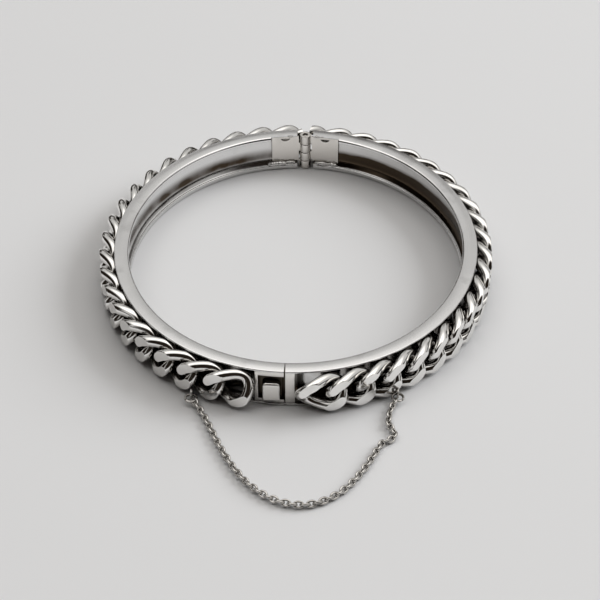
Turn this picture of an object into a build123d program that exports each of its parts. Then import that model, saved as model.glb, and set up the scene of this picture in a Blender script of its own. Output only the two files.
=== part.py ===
from build123d import *
import math
import os

# Hinged oval bangle bracelet: two half bands of channel section, a filed curb chain
# applied round the outside, a pinned hinge, a box clasp with a thumb tab, and a fine
# safety chain. Millimetres. The bracelet lies flat on z = 0, with the clasp at -Y, the
# hinge at +Y and the origin at the middle of the oval. Places on the oval are given as
# a distance outward from its inner edge ("out") and a distance round it from the clasp.

os.makedirs("parts", exist_ok=True)

# ---------------------------------------------------------------- driving dimensions
INNER_HALF_X = 25.4
INNER_HALF_Y = 28.0
BAND_HEIGHT = 6.4
RIM_WIDTH = 2.2
SHEET = 0.35
LIP_DEPTH = 0.7
LIP_ROUND = 0.3
LIP_FOOT_ROUND = 0.15
LIP_INSIDE_ROUND = 0.1
RIM_EDGE_ROUND = 0.08
LOWER_SETBACK = 0.1
WEB_OUT = 1.35
SEAM_GAP = 0.05
HINGE_GAP = 1.3
FIT_GAP = 0.02
MARGIN = 1

LINK_LENGTH = 7.6
LINK_HEIGHT = 5.8
LINK_WIRE = 1.6
LINK_TWIST = 1.08
LINK_SQUARENESS = 2.4
LINK_CORNERS = 12
CHAIN_OUT = 3.2
FILED_OUT = 4.42
LEFT_PITCH = 4.30
LEFT_FIRST = 8.1
LEFT_LINKS = 20
RIGHT_FIRST = 5.3
RIGHT_LINKS = 21
MITRE_ANGLE = 16.75
MITRE_GAP = 0.05

PIVOT_OUT = 0.85
BARREL_RADIUS = 0.85
BORE_RADIUS = 0.43
PIN_RADIUS = 0.40
PIN_INSET = 0.25
PIN_CHAMFER = 0.08
KNUCKLES = 4
KNUCKLE_GAP = 0.04
LEAF_THICKNESS = 0.3
LEAF_NEAR_X = 1.06
LEAF_FAR_X = 5.4
LEAF_BOTTOM = 1.3
LEAF_TOP = 6.0
FOOT_OVERLAP = 0.2
SLOT_RADIUS = 0.7
SLOT_DEPTH = 0.32
SLOT_DROP = 0.38
NOTCH_OUT = 0.66
NOTCH_SPARE = 0.12

BOX_LENGTH = 4.3
RIGHT_BOX_LENGTH = 1.5
BOX_WALL = 0.22
BOX_FLOOR = 0.25
WALL_OVERLAP = 0.05
COVER_OUT = 2.1
WINDOW_LENGTH = 3.8
WINDOW_TOP = 5.25
WINDOW_BOTTOM = 1.0
WINDOW_DEPTH = 0.3
SPRING_SHEET = 0.2
TONGUE_OUT = 0.68
TONGUE_REACH = 3.95
TONGUE_BOTTOM = 1.1
TONGUE_TOP = 5.1
CATCH_END_X = -0.5
CATCH_GAP = 0.18
FOLD_DROP = 0.16
TAB_WIDTH = 2.6
TAB_CENTRE_X = -1.9
TAB_BOTTOM = 1.1
TAB_TOP = 4.3
TAB_OUT = 2.62
TAB_ROUND = 0.35
TAB_EDGE_ROUND = 0.15

RING_WIRE = 0.36
EYELET_RADIUS = 0.62
EYELET_OUT = 4.75
EYELET_HEIGHT = 0.95
JUMP_RING_RADIUS = 0.8
JUMP_RING_HEIGHT = 0.85
JUMP_RING_HANG = 0.9
LEFT_ANCHOR = 13.2
RIGHT_ANCHOR = -16.2
SAFETY_WIDTH = 1.15

# Middle line of the safety chain as it lies, from its left ring to its right ring.
SAFETY_ROUTE = (
    (-12.76, -31.05, 0.85),
    (-11.6, -32.8, 0.62),
    (-10.2, -35.9, 0.60),
    (-8.6, -39.6, 0.60),
    (-6.4, -43.8, 0.60),
    (-3.6, -47.6, 0.60),
    (0.2, -50.3, 0.60),
    (4.6, -50.8, 0.60),
    (8.6, -48.3, 0.60),
    (11.4, -44.0, 0.60),
    (13.1, -40.1, 0.60),
    (14.1, -37.6, 0.60),
    (15.5, -37.1, 0.60),
    (15.9, -35.6, 0.60),
    (14.9, -34.3, 0.60),
    (14.9, -32.6, 0.60),
    (15.1, -30.9, 0.65),
    (15.66, -29.53, 0.85),
)

MID_HEIGHT = BAND_HEIGHT / 2
WEB_IN = WEB_OUT - SHEET
FLANGE_BOTTOM = BAND_HEIGHT - SHEET
PIVOT_Y = INNER_HALF_Y + PIVOT_OUT
BOX_FLOOR_OUT = SHEET + BOX_FLOOR
FAR = 4 * INNER_HALF_Y

# The chain's middle line starts at the hinge and runs round by the left half. The link
# that lies over the hinge is in step with the left half, and the rest share what is left.
chain_line = Edge.make_ellipse(INNER_HALF_X + CHAIN_OUT, INNER_HALF_Y + CHAIN_OUT)
HINGE_LINK = LEFT_FIRST + LEFT_PITCH * LEFT_LINKS
LAST_RIGHT = chain_line.length - HINGE_LINK - LEFT_PITCH
RIGHT_PITCH = (LAST_RIGHT - RIGHT_FIRST) / (RIGHT_LINKS - 1)


# ---------------------------------------------------------------- helpers
def oval_plane(out, from_clasp, height=MID_HEIGHT):
    """Plane on the oval: x to the right of someone looking from outside, y up, z outward.

    from_clasp is measured along the chain's middle line, positive round the left half."""
    travel = chain_line.length / 2 - from_clasp
    place = chain_line.position_at(travel, position_mode=PositionMode.LENGTH)
    tangent = chain_line.tangent_at(travel, position_mode=PositionMode.LENGTH)
    outward = tangent.cross(Vector(0, 0, 1)).normalized()
    origin = place + outward * (out - CHAIN_OUT) + Vector(0, 0, height)
    return Plane(origin, x_dir=Vector(0, 0, 1).cross(outward), z_dir=outward)


def corner_radii(points):
    """The largest tangent arcs that each corner's two runs leave room for."""
    radii = []
    for before, corner, after in zip(points, points[1:], points[2:]):
        first = Vector(*corner) - Vector(*before)
        second = Vector(*after) - Vector(*corner)
        half_turn = math.radians(first.get_angle(second)) / 2
        radii.append(0.45 * min(first.length, second.length) / math.tan(half_turn))
    return radii


def oval_wall(inner, outer, x_low, x_high, z_low, z_high):
    """A stretch of wall that follows the oval at the clasp end."""
    with BuildPart(mode=Mode.PRIVATE) as wall:
        with BuildSketch(Plane.XY.offset(z_low)):
            Ellipse(INNER_HALF_X + outer, INNER_HALF_Y + outer)
            Ellipse(INNER_HALF_X + inner, INNER_HALF_Y + inner, mode=Mode.SUBTRACT)
            with Locations(((x_low + x_high) / 2, -INNER_HALF_Y)):
                Rectangle(x_high - x_low, INNER_HALF_Y, mode=Mode.INTERSECT)
        extrude(amount=z_high - z_low)
    return wall.part


def block(x_low, x_high, y_low, y_high, z_low, z_high):
    """A rectangular block between two opposite corners."""
    centre = ((x_low + x_high) / 2, (y_low + y_high) / 2, (z_low + z_high) / 2)
    return Pos(*centre) * Box(x_high - x_low, y_high - y_low, z_high - z_low)


def mirrored(shape):
    """The same shape on the other side of the clasp-to-hinge plane."""
    return shape.mirror(Plane.YZ)


def save(builder, name):
    """Label a finished piece and write it out."""
    builder.part.label = name
    export_step(builder.part, f"parts/{name}.step")


# ---------------------------------------------------------------- half bands
# One rolled channel: a web with a wide rim above and below, each rim turned back on the
# inside in a small rounded lip. Each corner is (out, height, rounding).
LOWER_LIP_OUT = LOWER_SETBACK + SHEET
CHANNEL_CORNERS = (
    (WEB_IN, SHEET, 0),
    (WEB_IN, FLANGE_BOTTOM, 0),
    (SHEET, FLANGE_BOTTOM, 0),
    (SHEET, BAND_HEIGHT - LIP_DEPTH, LIP_INSIDE_ROUND),
    (0, BAND_HEIGHT - LIP_DEPTH, LIP_FOOT_ROUND),
    (0, BAND_HEIGHT, LIP_ROUND),
    (RIM_WIDTH, BAND_HEIGHT, RIM_EDGE_ROUND),
    (RIM_WIDTH, FLANGE_BOTTOM, RIM_EDGE_ROUND),
    (WEB_OUT, FLANGE_BOTTOM, 0),
    (WEB_OUT, SHEET, 0),
    (RIM_WIDTH, SHEET, RIM_EDGE_ROUND),
    (RIM_WIDTH, 0, RIM_EDGE_ROUND),
    (LOWER_SETBACK, 0, LIP_ROUND),
    (LOWER_SETBACK, LIP_DEPTH, LIP_FOOT_ROUND),
    (LOWER_LIP_OUT, LIP_DEPTH, LIP_INSIDE_ROUND),
    (LOWER_LIP_OUT, SHEET, 0),
)
hinge_section = Plane((0, INNER_HALF_Y, 0), x_dir=(0, 1, 0), z_dir=(1, 0, 0))

with BuildPart() as channel:
    with BuildLine() as inner_edge:
        EllipticalCenterArc((0, 0), INNER_HALF_X, INNER_HALF_Y, start_angle=90, arc_size=180)
    with BuildSketch(hinge_section):
        with BuildLine():
            corner_places = [corner[:2] for corner in CHANNEL_CORNERS]
            roundings = [corner[2] for corner in CHANNEL_CORNERS]
            FilletPolyline(corner_places, radius=roundings, close=True)
        make_face()
    sweep(path=inner_edge.line)

hinge_relief = block(-HINGE_GAP, HINGE_GAP, 0, FAR, -MARGIN, BAND_HEIGHT + MARGIN)
seam_relief = block(-SEAM_GAP, SEAM_GAP, -FAR, 0, -MARGIN, BAND_HEIGHT + MARGIN)
web_inside, web_outside = WEB_IN - FIT_GAP, WEB_OUT + FIT_GAP
left_web_relief = oval_wall(web_inside, web_outside, -BOX_LENGTH, 0, SHEET, FLANGE_BOTTOM)
right_web_relief = oval_wall(web_inside, web_outside, 0, RIGHT_BOX_LENGTH, SHEET, FLANGE_BOTTOM)

# Beside the hinge the upper rim is cut back, so that the leaf lies flush in the channel.
notch_far = LEAF_FAR_X + NOTCH_SPARE
notch_bottom = BAND_HEIGHT - LIP_DEPTH - FIT_GAP
right_hinge_notch = oval_wall(
    -MARGIN, NOTCH_OUT, 0, notch_far, notch_bottom, BAND_HEIGHT + MARGIN
).mirror(Plane.XZ)

with BuildPart() as left_band:
    add(channel.part)
    add(hinge_relief, mode=Mode.SUBTRACT)
    add(seam_relief, mode=Mode.SUBTRACT)
    add(left_web_relief, mode=Mode.SUBTRACT)
    add(mirrored(right_hinge_notch), mode=Mode.SUBTRACT)
save(left_band, "left_band")

with BuildPart() as right_band:
    add(mirrored(channel.part))
    add(hinge_relief, mode=Mode.SUBTRACT)
    add(seam_relief, mode=Mode.SUBTRACT)
    add(right_web_relief, mode=Mode.SUBTRACT)
    add(right_hinge_notch, mode=Mode.SUBTRACT)
save(right_band, "right_band")

# ---------------------------------------------------------------- curb chain links
# A link is a closed saddle of round wire: seen from outside, its upper left and lower
# right stand out and its other two corners tuck in, so that each link lies over one
# neighbour and under the other. The outward crests are filed flat.
reach_u = (LINK_LENGTH - LINK_WIRE) / 2
reach_v = (LINK_HEIGHT - LINK_WIRE) / 2


def squared(value):
    """Cosine or sine drawn out towards a rounded rectangle."""
    return math.copysign(abs(value) ** (2 / LINK_SQUARENESS), value)


step_angle = 2 * math.pi / LINK_CORNERS
first_corner = math.pi / 2 + step_angle / 2
corner_angles = [first_corner + step_angle * k for k in range(-1, LINK_CORNERS // 2 + 1)]
full_u = squared(math.cos(step_angle / 2))
full_v = squared(math.sin(math.pi / 2 - step_angle / 2))
full_twist = squared(math.cos(math.pi / 4)) * squared(math.sin(math.pi / 4))
saddle = []
for angle in corner_angles:
    share_u = squared(math.cos(angle)) / full_u
    share_v = squared(math.sin(angle)) / full_v
    twist = LINK_TWIST * share_u * share_v * full_u * full_v / full_twist
    saddle.append(Vector(reach_u * share_u, reach_v * share_v, -twist))
top_middle = (saddle[0] + saddle[1]) / 2
bottom_middle = (saddle[-1] + saddle[-2]) / 2
half_points = [top_middle] + saddle[1:-1] + [bottom_middle]
closed_points = [tuple(point) for point in saddle]

with BuildPart() as link_template:
    with BuildLine() as half_wire:
        FilletPolyline(half_points, radius=corner_radii(closed_points))
    with BuildSketch(Plane(half_wire.line @ 0, z_dir=half_wire.line % 0)):
        Circle(LINK_WIRE / 2)
    sweep(path=half_wire.line)
    add(link_template.part.rotate(Axis.Z, 180))
    with Locations((0, 0, FILED_OUT - CHAIN_OUT)):
        Box(
            2 * LINK_LENGTH,
            2 * LINK_HEIGHT,
            LINK_WIRE,
            align=(Align.CENTER, Align.CENTER, Align.MIN),
            mode=Mode.SUBTRACT,
        )

# The chain is cut through at the hinge, where the halves need room to swing: a wedge
# from the pivot clears everything that would close up as the bracelet opens.
wedge_width = FAR * math.tan(math.radians(MITRE_ANGLE))
with BuildPart() as mitre_wedge:
    with BuildSketch(Plane.XY.offset(-MARGIN)):
        with BuildLine():
            Polyline(
                (MITRE_GAP, PIVOT_Y - MARGIN),
                (MITRE_GAP, PIVOT_Y),
                (MITRE_GAP + wedge_width, PIVOT_Y + FAR),
                (-MITRE_GAP - wedge_width, PIVOT_Y + FAR),
                (-MITRE_GAP, PIVOT_Y),
                (-MITRE_GAP, PIVOT_Y - MARGIN),
                close=True,
            )
        make_face()
    extrude(amount=BAND_HEIGHT + 2 * MARGIN)
left_side = block(-FAR, 0, -FAR, FAR, -MARGIN, BAND_HEIGHT + MARGIN)
right_side = block(0, FAR, -FAR, FAR, -MARGIN, BAND_HEIGHT + MARGIN)


def place_link(name, from_clasp, near_hinge=False, drop_side=None):
    """One link at its place on the oval, trimmed where it meets the hinge's wedge."""
    spot = oval_plane(CHAIN_OUT, from_clasp)
    with BuildPart() as link:
        add(spot.location * link_template.part)
        if drop_side is not None:
            add(drop_side, mode=Mode.SUBTRACT)
        if near_hinge:
            add(mitre_wedge.part, mode=Mode.SUBTRACT)
    save(link, name)
    return link.part


links = {}
for number in range(1, LEFT_LINKS + 1):
    name = f"left_link_{number:02d}"
    along = LEFT_FIRST + LEFT_PITCH * (number - 1)
    links[name] = place_link(name, along, near_hinge=number == LEFT_LINKS)
for number in range(1, RIGHT_LINKS + 1):
    name = f"right_link_{number:02d}"
    along = -RIGHT_FIRST - RIGHT_PITCH * (number - 1)
    links[name] = place_link(name, along, near_hinge=number == RIGHT_LINKS)

# The link that lies over the hinge is cut in two, and each end stays with its half.
for name, side in (("left_hinge_link", right_side), ("right_hinge_link", left_side)):
    links[name] = place_link(name, HINGE_LINK, near_hinge=True, drop_side=side)

# ---------------------------------------------------------------- hinge
# Two leaves lie inside the channels and roll into the barrel's knuckles in turn.
knuckle_height = (BAND_HEIGHT - KNUCKLE_GAP * (KNUCKLES + 1)) / KNUCKLES
leaf_out = WEB_IN - LEAF_THICKNESS - FIT_GAP
leaf_x_middle = (LEAF_NEAR_X + LEAF_FAR_X) / 2
slot_top = LEAF_TOP - SLOT_DROP
foot_length = LEAF_NEAR_X + FOOT_OVERLAP
foot_y = INNER_HALF_Y + leaf_out + (LEAF_THICKNESS + FIT_GAP) / 2


def hinge_leaf(first_knuckle):
    """The right-hand leaf with every second knuckle, counted from the bottom."""
    plate = oval_wall(
        leaf_out, leaf_out + LEAF_THICKNESS, LEAF_NEAR_X, LEAF_FAR_X, LEAF_BOTTOM, LEAF_TOP
    )
    with BuildPart(mode=Mode.PRIVATE) as leaf:
        add(plate.mirror(Plane.XZ))
        with BuildSketch(Plane.XZ):
            with Locations((leaf_x_middle, slot_top - SLOT_DEPTH + SLOT_RADIUS)):
                Circle(SLOT_RADIUS)
            with Locations((leaf_x_middle, slot_top + SLOT_RADIUS)):
                Rectangle(2 * SLOT_RADIUS, 2 * SLOT_RADIUS, mode=Mode.SUBTRACT)
        extrude(amount=FAR, both=True, mode=Mode.SUBTRACT)
        for number in range(first_knuckle, KNUCKLES, 2):
            foot = KNUCKLE_GAP + number * (knuckle_height + KNUCKLE_GAP)
            with BuildSketch(Plane.XY.offset(foot)):
                with Locations((0, PIVOT_Y)):
                    Circle(BARREL_RADIUS)
                with Locations((foot_length / 2, foot_y)):
                    Rectangle(foot_length, LEAF_THICKNESS - FIT_GAP)
                with Locations((0, PIVOT_Y)):
                    Circle(BORE_RADIUS, mode=Mode.SUBTRACT)
            extrude(amount=knuckle_height)
    return leaf.part


with BuildPart() as right_hinge_leaf:
    add(hinge_leaf(1))
save(right_hinge_leaf, "right_hinge_leaf")

with BuildPart() as left_hinge_leaf:
    add(mirrored(hinge_leaf(0)))
save(left_hinge_leaf, "left_hinge_leaf")

with BuildPart() as hinge_pin:
    with Locations((0, PIVOT_Y, PIN_INSET)):
        Cylinder(
            PIN_RADIUS,
            BAND_HEIGHT - 2 * PIN_INSET,
            align=(Align.CENTER, Align.CENTER, Align.MIN),
        )
    chamfer(hinge_pin.edges().filter_by(GeomType.CIRCLE), PIN_CHAMFER)
save(hinge_pin, "hinge_pin")

# ---------------------------------------------------------------- clasp box on the left
wall_heights = (LIP_DEPTH + FIT_GAP, FLANGE_BOTTOM)
cover_in = COVER_OUT - SHEET
cover = oval_wall(cover_in, COVER_OUT, -BOX_LENGTH, -SEAM_GAP, SHEET, FLANGE_BOTTOM)
back_in = SHEET + FIT_GAP
end_in = BOX_FLOOR_OUT - WALL_OVERLAP
back_wall = oval_wall(back_in, BOX_FLOOR_OUT, -BOX_LENGTH, -SEAM_GAP, *wall_heights)
end_wall = oval_wall(end_in, COVER_OUT, -BOX_LENGTH, -BOX_LENGTH + BOX_WALL, *wall_heights)
window_y = -INNER_HALF_Y - BOX_FLOOR_OUT - WINDOW_DEPTH
window = block(-WINDOW_LENGTH, 0, -FAR, window_y, WINDOW_BOTTOM, WINDOW_TOP)

with BuildPart() as clasp_box:
    add(cover)
    add(back_wall)
    add(end_wall)
    add(window, mode=Mode.SUBTRACT)
save(clasp_box, "clasp_box")

# ---------------------------------------------------------------- clasp root on the right
right_cover = oval_wall(cover_in, COVER_OUT, SEAM_GAP, RIGHT_BOX_LENGTH, SHEET, FLANGE_BOTTOM)
right_back = oval_wall(back_in, BOX_FLOOR_OUT, SEAM_GAP, RIGHT_BOX_LENGTH, *wall_heights)
right_end = oval_wall(
    end_in, COVER_OUT, RIGHT_BOX_LENGTH - BOX_WALL, RIGHT_BOX_LENGTH, *wall_heights
)
with BuildPart() as clasp_root:
    add(right_cover)
    add(right_back)
    add(right_end)
save(clasp_root, "clasp_root")

# ---------------------------------------------------------------- tongue and catch
# The tongue is bent on an arc about the hinge pin, so that it slides straight out of
# the box. The catch is sprung off the tongue's tip and carries the thumb tab.
tongue_radius = PIVOT_Y + INNER_HALF_Y + TONGUE_OUT
root_x = RIGHT_BOX_LENGTH - BOX_WALL
with BuildPart() as tongue:
    with BuildSketch(Plane.XY.offset(TONGUE_BOTTOM)):
        with Locations((0, PIVOT_Y)):
            Circle(tongue_radius + SPRING_SHEET)
            Circle(tongue_radius, mode=Mode.SUBTRACT)
        with Locations(((root_x - TONGUE_REACH) / 2, -INNER_HALF_Y)):
            Rectangle(root_x + TONGUE_REACH, INNER_HALF_Y, mode=Mode.INTERSECT)
    extrude(amount=TONGUE_TOP - TONGUE_BOTTOM)
save(tongue, "tongue")

fold_x = -TONGUE_REACH + SPRING_SHEET / 2
tongue_skin = tongue_radius + SPRING_SHEET
tongue_tip_y = PIVOT_Y - math.sqrt(tongue_skin**2 - fold_x**2)
fold_y = tongue_tip_y - FOLD_DROP
catch_y = -INNER_HALF_Y - cover_in + CATCH_GAP + SPRING_SHEET / 2
with BuildPart() as catch_spring:
    with BuildSketch(Plane.XY.offset(TONGUE_BOTTOM)):
        with BuildLine():
            catch_line = Line((fold_x, fold_y), (CATCH_END_X, catch_y))
            offset(amount=SPRING_SHEET / 2, side=Side.BOTH)
        make_face()
    extrude(amount=TONGUE_TOP - TONGUE_BOTTOM)
save(catch_spring, "catch_spring")

tab_left_x = TAB_CENTRE_X - TAB_WIDTH / 2
tab_right_x = TAB_CENTRE_X + TAB_WIDTH / 2
tab_face_y = -INNER_HALF_Y - TAB_OUT
catch_slope = (catch_y - fold_y) / (CATCH_END_X - fold_x)
catch_skin = fold_y - SPRING_SHEET / 2 * math.hypot(1, catch_slope)
with BuildPart() as thumb_tab:
    with BuildSketch(Plane.XY.offset(TAB_BOTTOM)):
        with BuildLine():
            Polyline(
                (tab_left_x, catch_skin + catch_slope * (tab_left_x - fold_x)),
                (tab_right_x, catch_skin + catch_slope * (tab_right_x - fold_x)),
                (tab_right_x, tab_face_y),
                (tab_left_x, tab_face_y),
                close=True,
            )
        make_face()
    extrude(amount=TAB_TOP - TAB_BOTTOM)
    front_face = thumb_tab.faces().sort_by(Axis.Y)[0]
    fillet(front_face.edges().filter_by(Axis.X).sort_by(Axis.Z)[-1], TAB_ROUND)
    front_face = thumb_tab.faces().sort_by(Axis.Y)[0]
    fillet(front_face.edges().filter_by(Axis.Z), TAB_EDGE_ROUND)
save(thumb_tab, "thumb_tab")

# ---------------------------------------------------------------- safety chain
# An eyelet is soldered to the lower edge of the curb chain on each side, with its wire
# coped to the links, and a jump ring in it holds the end of the fine chain.
anchors = (
    ("left", LEFT_ANCHOR, ("left_link_02", "left_link_03")),
    ("right", RIGHT_ANCHOR, ("right_link_03", "right_link_04")),
)
for side, anchor, held_by in anchors:
    eyelet_place = oval_plane(EYELET_OUT, anchor, EYELET_HEIGHT).origin
    with BuildPart() as eyelet:
        with Locations(Plane(eyelet_place, z_dir=(1, 0, 0))):
            Torus(EYELET_RADIUS, RING_WIRE / 2)
        for link_name in held_by:
            add(links[link_name], mode=Mode.SUBTRACT)
    save(eyelet, f"{side}_chain_eyelet")

    ring_centre = Vector(eyelet_place.X, eyelet_place.Y - JUMP_RING_HANG, JUMP_RING_HEIGHT)
    with BuildPart() as jump_ring:
        with Locations(ring_centre):
            Torus(JUMP_RING_RADIUS, RING_WIRE / 2)
    save(jump_ring, f"{side}_jump_ring")

route_radii = corner_radii(SAFETY_ROUTE)
with BuildPart() as safety_chain:
    with BuildLine() as route:
        FilletPolyline(SAFETY_ROUTE, radius=route_radii)
    with BuildSketch(Plane(route.line @ 0, z_dir=route.line % 0)):
        Circle(SAFETY_WIDTH / 2)
    sweep(path=route.line)
save(safety_chain, "safety_chain")

section_area = math.pi * SAFETY_WIDTH**2 / 4
route_length = route.wires()[0].length
print("route radii", [round(radius, 2) for radius in route_radii])
filled_share = safety_chain.part.volume / (section_area * route_length)
print("route length", round(route_length, 2), "mm")
print("volume over section times length", round(filled_share, 4))
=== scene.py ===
import bisect
import math
import random

import bmesh
import bpy
from mathutils import Matrix, Vector


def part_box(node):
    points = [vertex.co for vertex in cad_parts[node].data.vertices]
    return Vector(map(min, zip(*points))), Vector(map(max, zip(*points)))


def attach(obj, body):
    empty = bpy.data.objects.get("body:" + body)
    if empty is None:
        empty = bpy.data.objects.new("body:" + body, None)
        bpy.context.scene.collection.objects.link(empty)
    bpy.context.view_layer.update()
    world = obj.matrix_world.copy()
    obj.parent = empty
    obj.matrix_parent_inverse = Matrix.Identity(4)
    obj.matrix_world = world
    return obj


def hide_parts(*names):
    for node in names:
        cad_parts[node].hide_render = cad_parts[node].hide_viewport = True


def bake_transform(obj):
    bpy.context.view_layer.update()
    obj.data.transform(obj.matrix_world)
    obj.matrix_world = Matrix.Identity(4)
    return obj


# A hinged oval bangle with a curb chain round the outside. Blender works in metres, in
# the CAD frame: +Z up, the clasp at -Y, the hinge at +Y. The bracelet's lengths are written
# in millimetres and scaled where a mesh is made. The safety chain's route, the depths of the
# silver's marks, the floor and the window are in metres.

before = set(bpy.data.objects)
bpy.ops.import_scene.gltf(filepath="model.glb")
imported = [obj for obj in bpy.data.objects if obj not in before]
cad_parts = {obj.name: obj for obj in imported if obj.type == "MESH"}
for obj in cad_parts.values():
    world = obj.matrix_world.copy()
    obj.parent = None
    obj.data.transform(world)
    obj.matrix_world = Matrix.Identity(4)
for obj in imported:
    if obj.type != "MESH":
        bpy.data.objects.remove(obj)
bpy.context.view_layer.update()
MM = 0.001
rng = random.Random(7)


def node_box(name):
    """Lowest and highest corner of a CAD node, in millimetres."""
    low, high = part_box(name)
    return low / MM, high / MM


# ---------------------------------------------------------------- camera
CAMERA_PLACE = Vector((13.3, -243.8, 193.6))
CAMERA_AIM = Vector((1.16, -10.22, 3.25))
CAMERA_LENS = 121.1

camera = bpy.data.objects.new("camera", bpy.data.cameras.new("camera"))
bpy.context.scene.collection.objects.link(camera)
camera.data.lens = CAMERA_LENS
camera.data.sensor_width = 36.0
camera.data.clip_start = 0.01
camera.location = CAMERA_PLACE * MM
camera.rotation_euler = (CAMERA_AIM - CAMERA_PLACE).to_track_quat("-Z", "Y").to_euler()
bpy.context.scene.camera = camera
bpy.context.scene.view_settings.view_transform = "Standard"

# ---------------------------------------------------------------- sizes
band_low, band_high = node_box("left_band")
RIM_WIDTH = 2.2
BAND_HEIGHT = band_high.z
SHEET = 0.35
LIP_DEPTH = 0.7
WEB_OUT = 1.35
WEB_IN = WEB_OUT - SHEET
INNER_HALF_X = -band_low.x - RIM_WIDTH
INNER_HALF_Y = -band_low.y - RIM_WIDTH
SEAM_GAP = 0.03
HINGE_GAP = 1.3

CHAIN_OUT = 3.2
LEFT_FIRST = 8.1
LEFT_PITCH = 4.30
LEFT_LINKS = 20
RIGHT_FIRST = 5.3
RIGHT_LINKS = 21
LINK_LENGTH = 7.6
LINK_HEIGHT = 5.8
LINK_WIRE = 1.6
LINK_TWIST = 1.0
LINK_SQUARENESS = 2.2
FILED_AT = 1.22
MITRE_ANGLE = math.radians(16.75)
MITRE_GAP = 0.05
SHARP_ANGLE = 38
pin_low, pin_high = node_box("hinge_pin")
PIVOT = Vector(((pin_low.x + pin_high.x) / 2, (pin_low.y + pin_high.y) / 2, 0))


# ---------------------------------------------------------------- mesh helpers
def make_object(name, mesh, material, body, nodes):
    """A finished piece: its material, the body it rides on and the nodes it stands for."""
    piece = bpy.data.objects.new(name, mesh)
    bpy.context.scene.collection.objects.link(piece)
    mesh.materials.clear()
    mesh.materials.append(material)
    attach(piece, body)
    if nodes:
        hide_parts(*nodes)
    return piece


def face_outward(bm):
    """Turns the faces of a closed bmesh so that they all look outward."""
    bmesh.ops.recalc_face_normals(bm, faces=bm.faces)
    if bm.calc_volume(signed=True) < 0:
        bmesh.ops.reverse_faces(bm, faces=bm.faces)


def mesh_from(bm, name, sharp_angle=SHARP_ANGLE):
    """Scales a millimetre bmesh to metres, shades it smooth and splits its real corners."""
    face_outward(bm)
    for face in bm.faces:
        face.smooth = True
    for edge in bm.edges:
        if len(edge.link_faces) == 2:
            edge.smooth = edge.calc_face_angle() < math.radians(sharp_angle)
    bmesh.ops.scale(bm, vec=(MM, MM, MM), verts=bm.verts)
    mesh = bpy.data.meshes.new(name)
    bm.to_mesh(mesh)
    bm.free()
    return mesh


def add_modifiers(piece, bevel=0.0, segments=3):
    """A small bevel where asked, then normals that keep the flats flat."""
    if bevel:
        rounding = piece.modifiers.new("rounding", "BEVEL")
        rounding.width = bevel * MM
        rounding.segments = segments
        rounding.limit_method = "ANGLE"
        rounding.angle_limit = math.radians(SHARP_ANGLE)
    flats = piece.modifiers.new("flats", "WEIGHTED_NORMAL")
    flats.keep_sharp = not bevel


def rounded(corners, segments):
    """A closed outline of (x, y, radius) corners with each corner turned into an arc."""
    outline = []
    count = len(corners)
    for index, (x, y, radius) in enumerate(corners):
        corner = Vector((x, y))
        if not radius:
            outline.append(corner)
            continue
        before = (Vector(corners[index - 1][:2]) - corner).normalized()
        after = (Vector(corners[(index + 1) % count][:2]) - corner).normalized()
        half = before.angle(after) / 2
        middle = corner + (before + after).normalized() * (radius / math.sin(half))
        first = corner + before * (radius / math.tan(half)) - middle
        turn = first.angle_signed(corner + after * (radius / math.tan(half)) - middle)
        for step in range(segments + 1):
            spin = Matrix.Rotation(-turn * step / segments, 2)
            outline.append(middle + spin @ first)
    return outline


def grid_faces(bm, rows, closed=False):
    """Quads between successive rows of vertices, each row a closed loop."""
    pairs = list(zip(rows, rows[1:]))
    if closed:
        pairs.append((rows[-1], rows[0]))
    for row, following in pairs:
        for index in range(len(row)):
            after = (index + 1) % len(row)
            bm.faces.new((row[index], row[after], following[after], following[index]))


def cut_away(bm, place, normal):
    """Removes what lies beyond a plane and closes the cut."""
    geometry = bm.verts[:] + bm.edges[:] + bm.faces[:]
    made = bmesh.ops.bisect_plane(
        bm, geom=geometry, plane_co=place, plane_no=normal, clear_outer=True, dist=1e-5
    )
    rim = [item for item in made["geom_cut"] if isinstance(item, bmesh.types.BMEdge)]
    if rim:
        bmesh.ops.holes_fill(bm, edges=rim, sides=0)


# ---------------------------------------------------------------- the oval
def oval_point(angle, out, height=0.0):
    """A point out from the oval's inner edge; angle 0 is at +X and it turns towards +Y."""
    normal = Vector((math.cos(angle) / INNER_HALF_X, math.sin(angle) / INNER_HALF_Y, 0))
    edge = Vector((INNER_HALF_X * math.cos(angle), INNER_HALF_Y * math.sin(angle), height))
    return edge + normal.normalized() * out


def ellipse_y(x, out):
    """The front half's y at a given x, on the ellipse that stands out from the inner one."""
    half_x, half_y = INNER_HALF_X + out, INNER_HALF_Y + out
    return -half_y * math.sqrt(1 - (x / half_x) ** 2)


CHAIN_STEPS = 7200
chain_angles = [-math.pi / 2 - 2 * math.pi * step / CHAIN_STEPS for step in range(CHAIN_STEPS + 1)]
chain_half = (INNER_HALF_X + CHAIN_OUT, INNER_HALF_Y + CHAIN_OUT)
chain_places = [
    Vector((chain_half[0] * math.cos(angle), chain_half[1] * math.sin(angle), 0))
    for angle in chain_angles
]
chain_travel = [0.0]
for start, end in zip(chain_places, chain_places[1:]):
    chain_travel.append(chain_travel[-1] + (end - start).length)
CHAIN_ROUND = chain_travel[-1]
HINGE_LINK = LEFT_FIRST + LEFT_PITCH * LEFT_LINKS
RIGHT_PITCH = (CHAIN_ROUND - HINGE_LINK - LEFT_PITCH - RIGHT_FIRST) / (RIGHT_LINKS - 1)


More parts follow.
